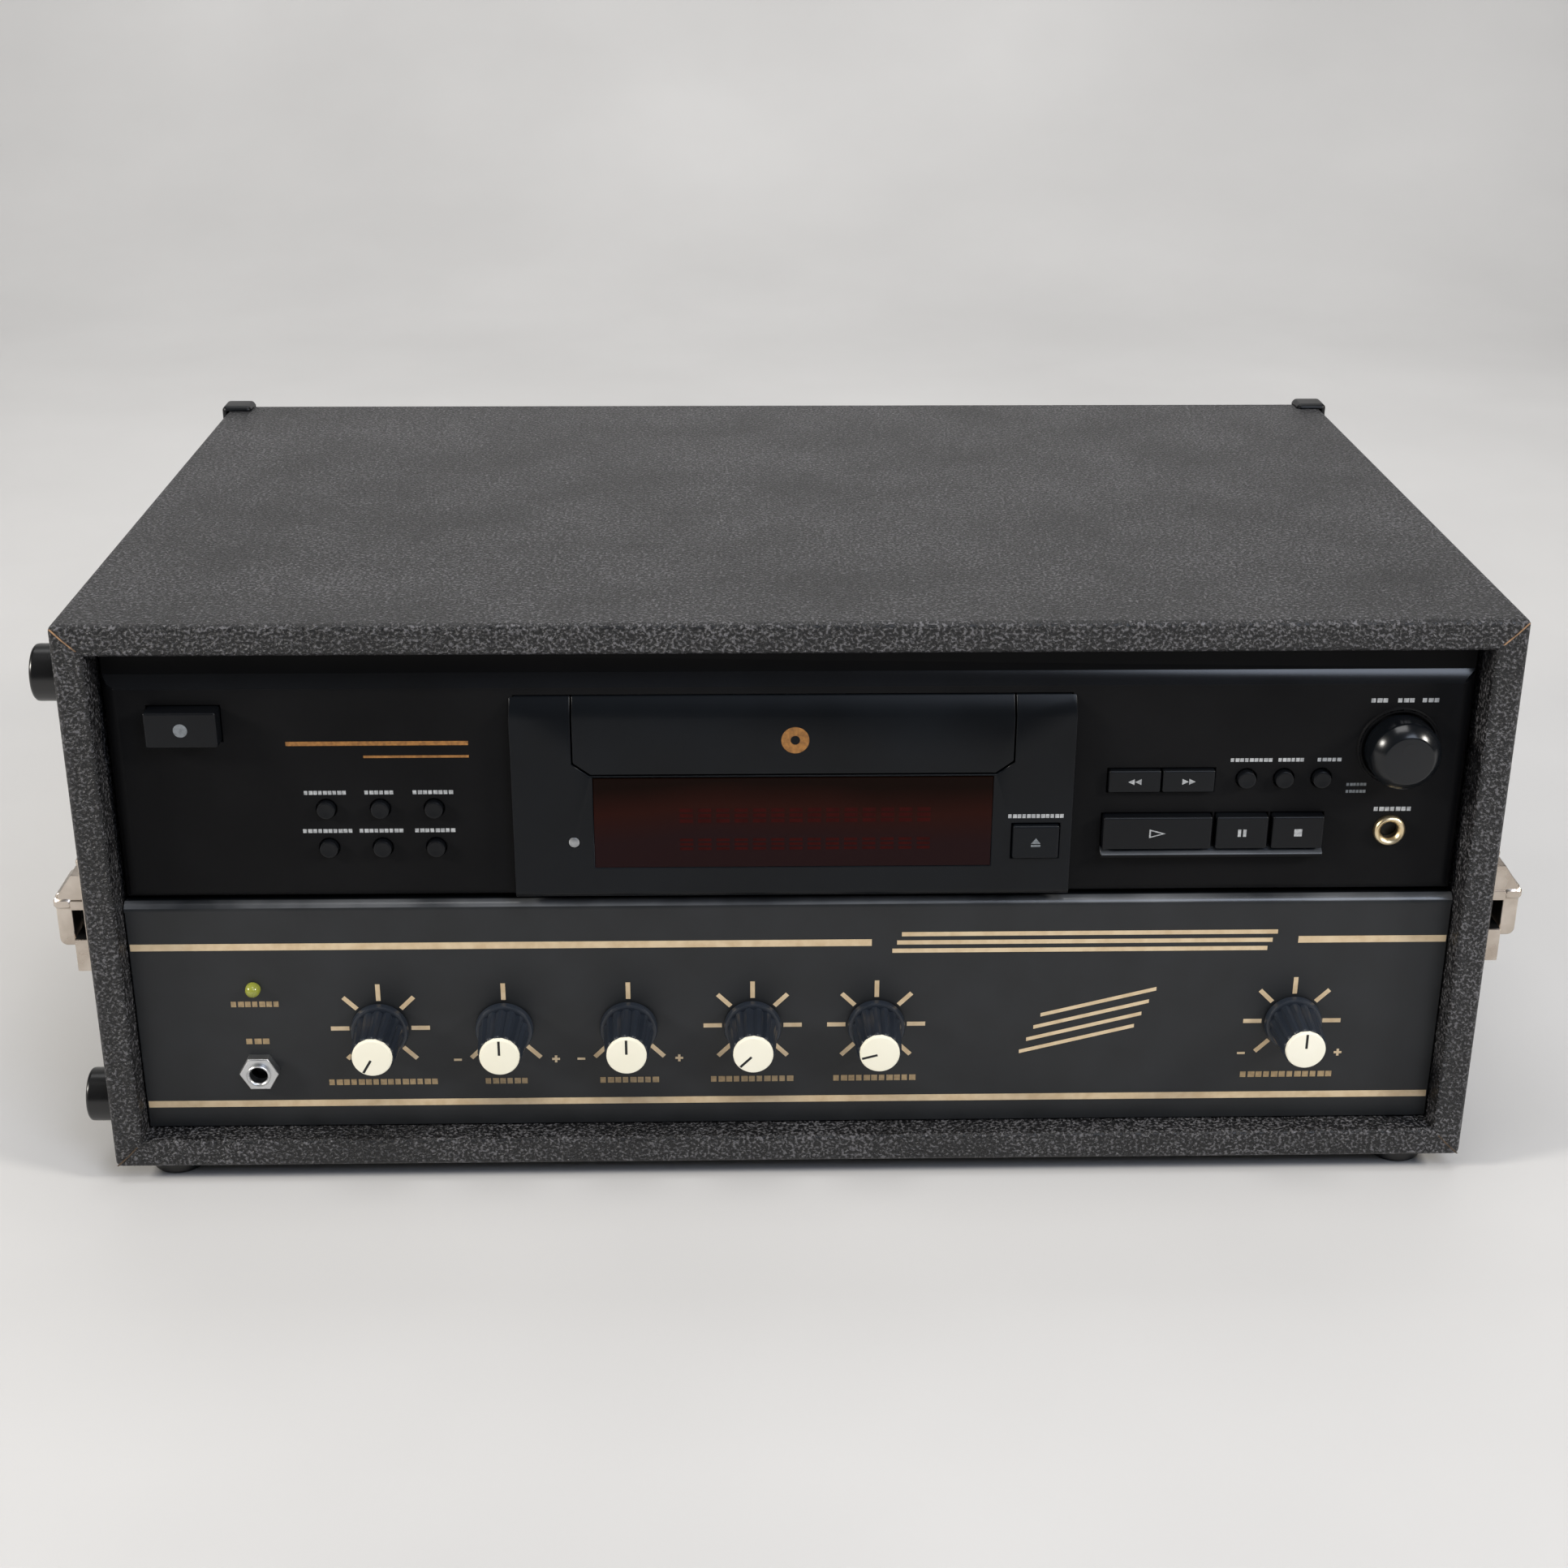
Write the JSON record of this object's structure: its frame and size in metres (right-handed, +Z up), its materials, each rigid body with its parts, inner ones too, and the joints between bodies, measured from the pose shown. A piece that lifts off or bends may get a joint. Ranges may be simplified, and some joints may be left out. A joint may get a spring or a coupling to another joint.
{
  "type": "portable disc player and amplifier",
  "caption": "Disc player deck over a mixer amplifier with rotary knobs, mounted in a vinyl-covered plywood carrying case with side latches, rubber feet and a strap handle.",
  "frame": {"origin": "on the floor, below the middle of the whole outline", "axes": "+X to the right seen from the front, +Y from the front to the back, +Z up"},
  "size_m": [0.4836, 0.2934, 0.1995],
  "materials": {
    "vinyl_covered_board": "pebbled black vinyl over plywood",
    "bare_board": "raw plywood",
    "painted_board": "flat black paint",
    "rubber": "glossy black rubber",
    "black_plastic": "fine satin",
    "bezel_plastic": "gloss blue black",
    "display_plastic": "dark red tinted, polished",
    "strap_leather": "black grained",
    "nickel": "nickel plated, lightly worn",
    "gold_plate": "gold plated",
    "sheet_steel": "zinc plated",
    "panel_paint": "flat dark grey",
    "circuit": "coated laminate",
    "aluminium": "cast and turned",
    "white_plastic": "moulded",
    "core_iron": "varnished laminations",
    "lamp_plastic": "tinted, polished",
    "knob_plastic": "satin black with an ivory cap"
  },
  "bodies": {
    "case": {"top_board": "vinyl_covered_board", "bottom_board": "vinyl_covered_board", "left_board": "vinyl_covered_board", "right_board": "vinyl_covered_board", "back_panel": "painted_board", "case_cleats": "bare_board", "rubber_feet": "rubber", "corner_caps": "black_plastic", "carry_strap": "strap_leather", "strap_ends": "black_plastic", "latch_bodies": "nickel", "deck_fascia": "black_plastic", "tray_bezel": "bezel_plastic", "display_window": "display_plastic", "remote_lens": "display_plastic", "headphone_socket": "gold_plate", "deck_chassis": "sheet_steel", "deck_cover": "sheet_steel", "deck_boards": "circuit", "mechanism_frame": "black_plastic", "amp_panel": "panel_paint", "amp_chassis": "sheet_steel", "amp_board": "aluminium", "power_lamp": "lamp_plastic", "mic_socket": "nickel", "mains_transformer": "core_iron", "rear_sockets": "black_plastic"},
    "tray": {"disc_tray": "black_plastic", "tray_front": "bezel_plastic"},
    "latch_lever_left": {"latch_lever_left": "nickel"},
    "latch_lever_right": {"latch_lever_right": "nickel"},
    "jog_shaft": {"jog_shaft": "sheet_steel"},
    "jog_dial": {"jog_dial": "black_plastic"},
    "tray_gear": {"tray_gear": "white_plastic"},
    "turntable": {"turntable": "aluminium"},
    "pickup_sled": {"pickup_sled": "aluminium"},
    "mains_switch": {"mains_switch": "black_plastic"},
    "mode_button_1": {"mode_button_1": "black_plastic"},
    "mode_button_2": {"mode_button_2": "black_plastic"},
    "mode_button_3": {"mode_button_3": "black_plastic"},
    "mode_button_4": {"mode_button_4": "black_plastic"},
    "mode_button_5": {"mode_button_5": "black_plastic"},
    "mode_button_6": {"mode_button_6": "black_plastic"},
    "edit_button_1": {"edit_button_1": "black_plastic"},
    "edit_button_2": {"edit_button_2": "black_plastic"},
    "edit_button_3": {"edit_button_3": "black_plastic"},
    "power_button": {"power_button": "black_plastic"},
    "skip_back_button": {"skip_back_button": "black_plastic"},
    "skip_next_button": {"skip_next_button": "black_plastic"},
    "play_button": {"play_button": "black_plastic"},
    "pause_button": {"pause_button": "black_plastic"},
    "stop_button": {"stop_button": "black_plastic"},
    "eject_button": {"eject_button": "bezel_plastic"},
    "mic_knob": {"mic_knob": "knob_plastic"},
    "bass_knob": {"bass_knob": "knob_plastic"},
    "treble_knob": {"treble_knob": "knob_plastic"},
    "second_knob": {"second_knob": "knob_plastic"},
    "main_knob": {"main_knob": "knob_plastic"},
    "speed_knob": {"speed_knob": "knob_plastic"}
  },
  "joints": [
    {"name": "latch_lever_left_swing", "type": "hinge", "parent": "case", "child": "latch_lever_left", "pos_m": [-0.23915, -0.1193, 0.103], "axis": [0, 1, 0], "range_deg": [0, 95]},
    {"name": "latch_lever_right_swing", "type": "hinge", "parent": "case", "child": "latch_lever_right", "pos_m": [0.22865, -0.1193, 0.103], "axis": [0, -1, 0], "range_deg": [0, 95]},
    {"name": "mode_button_1_push", "type": "slide", "parent": "case", "child": "mode_button_1", "axis": [0, 1, 0], "range_m": [0, 0.0015], "stiffness_N_per_m": 400, "springref_m": -0.002},
    {"name": "mode_button_2_push", "type": "slide", "parent": "case", "child": "mode_button_2", "axis": [0, 1, 0], "range_m": [0, 0.0015], "stiffness_N_per_m": 400, "springref_m": -0.002},
    {"name": "mode_button_3_push", "type": "slide", "parent": "case", "child": "mode_button_3", "axis": [0, 1, 0], "range_m": [0, 0.0015], "stiffness_N_per_m": 400, "springref_m": -0.002},
    {"name": "mode_button_4_push", "type": "slide", "parent": "case", "child": "mode_button_4", "axis": [0, 1, 0], "range_m": [0, 0.0015], "stiffness_N_per_m": 400, "springref_m": -0.002},
    {"name": "mode_button_5_push", "type": "slide", "parent": "case", "child": "mode_button_5", "axis": [0, 1, 0], "range_m": [0, 0.0015], "stiffness_N_per_m": 400, "springref_m": -0.002},
    {"name": "mode_button_6_push", "type": "slide", "parent": "case", "child": "mode_button_6", "axis": [0, 1, 0], "range_m": [0, 0.0015], "stiffness_N_per_m": 400, "springref_m": -0.002},
    {"name": "edit_button_1_push", "type": "slide", "parent": "case", "child": "edit_button_1", "axis": [0, 1, 0], "range_m": [0, 0.0015], "stiffness_N_per_m": 400, "springref_m": -0.002},
    {"name": "edit_button_2_push", "type": "slide", "parent": "case", "child": "edit_button_2", "axis": [0, 1, 0], "range_m": [0, 0.0015], "stiffness_N_per_m": 400, "springref_m": -0.002},
    {"name": "edit_button_3_push", "type": "slide", "parent": "case", "child": "edit_button_3", "axis": [0, 1, 0], "range_m": [0, 0.0015], "stiffness_N_per_m": 400, "springref_m": -0.002},
    {"name": "power_button_push", "type": "slide", "parent": "case", "child": "power_button", "axis": [0, 1, 0], "range_m": [0, 0.003], "stiffness_N_per_m": 400, "springref_m": -0.002},
    {"name": "skip_back_button_push", "type": "slide", "parent": "case", "child": "skip_back_button", "axis": [0, 1, 0], "range_m": [0, 0.0015], "stiffness_N_per_m": 400, "springref_m": -0.002},
    {"name": "skip_next_button_push", "type": "slide", "parent": "case", "child": "skip_next_button", "axis": [0, 1, 0], "range_m": [0, 0.0015], "stiffness_N_per_m": 400, "springref_m": -0.002},
    {"name": "play_button_push", "type": "slide", "parent": "case", "child": "play_button", "axis": [0, 1, 0], "range_m": [0, 0.0015], "stiffness_N_per_m": 400, "springref_m": -0.002},
    {"name": "pause_button_push", "type": "slide", "parent": "case", "child": "pause_button", "axis": [0, 1, 0], "range_m": [0, 0.0015], "stiffness_N_per_m": 400, "springref_m": -0.002},
    {"name": "stop_button_push", "type": "slide", "parent": "case", "child": "stop_button", "axis": [0, 1, 0], "range_m": [0, 0.0015], "stiffness_N_per_m": 400, "springref_m": -0.002},
    {"name": "eject_button_push", "type": "slide", "parent": "case", "child": "eject_button", "axis": [0, 1, 0], "range_m": [0, 0.0015], "stiffness_N_per_m": 400, "springref_m": -0.002},
    {"name": "jog_push", "type": "slide", "parent": "case", "child": "jog_shaft", "axis": [0, 1, 0], "range_m": [0, 0.001], "stiffness_N_per_m": 800, "springref_m": -0.002},
    {"name": "jog_turn", "type": "hinge", "parent": "jog_shaft", "child": "jog_dial", "pos_m": [0.18655, -0.1263, 0.1526], "axis": [0, 1, 0], "continuous": true},
    {"name": "tray_slide", "type": "slide", "parent": "case", "child": "tray", "axis": [0, -1, 0], "range_m": [0, 0.135]},
    {"name": "tray_gear_turn", "type": "hinge", "parent": "case", "child": "tray_gear", "pos_m": [0.03325, -0.0983, 0.1465], "axis": [0, 0, -1], "range_deg": [0, 572.96]},
    {"name": "turntable_spin", "type": "hinge", "parent": "case", "child": "turntable", "pos_m": [-0.00525, -0.0608, 0.1505], "axis": [0, 0, 1], "continuous": true},
    {"name": "pickup_slide", "type": "slide", "parent": "case", "child": "pickup_sled", "axis": [0, 1, 0], "range_m": [0, 0.033]},
    {"name": "mic_knob_turn", "type": "hinge", "parent": "case", "child": "mic_knob", "pos_m": [-0.14125, -0.1263, 0.054], "axis": [0, 1, 0], "range_deg": [0, 270]},
    {"name": "bass_knob_turn", "type": "hinge", "parent": "case", "child": "bass_knob", "pos_m": [-0.10025, -0.1263, 0.054], "axis": [0, 1, 0], "range_deg": [-135, 135]},
    {"name": "treble_knob_turn", "type": "hinge", "parent": "case", "child": "treble_knob", "pos_m": [-0.05925, -0.1263, 0.054], "axis": [0, 1, 0], "range_deg": [-135, 135]},
    {"name": "second_knob_turn", "type": "hinge", "parent": "case", "child": "second_knob", "pos_m": [-0.01825, -0.1263, 0.054], "axis": [0, 1, 0], "range_deg": [0, 270]},
    {"name": "main_knob_turn", "type": "hinge", "parent": "case", "child": "main_knob", "pos_m": [0.02275, -0.1263, 0.054], "axis": [0, 1, 0], "range_deg": [-30, 240]},
    {"name": "speed_knob_turn", "type": "hinge", "parent": "case", "child": "speed_knob", "pos_m": [0.16155, -0.1263, 0.054], "axis": [0, 1, 0], "range_deg": [-135, 135]},
    {"name": "mains_switch_rock", "type": "hinge", "parent": "case", "child": "mains_switch", "pos_m": [0.11475, 0.12885, 0.0545], "axis": [1, 0, 0], "range_deg": [-14, 0]}
  ],
  "couplings": [
    {"joint": "tray_gear_turn", "follows": "tray_slide", "rad_per_m": 74.074}
  ]
}
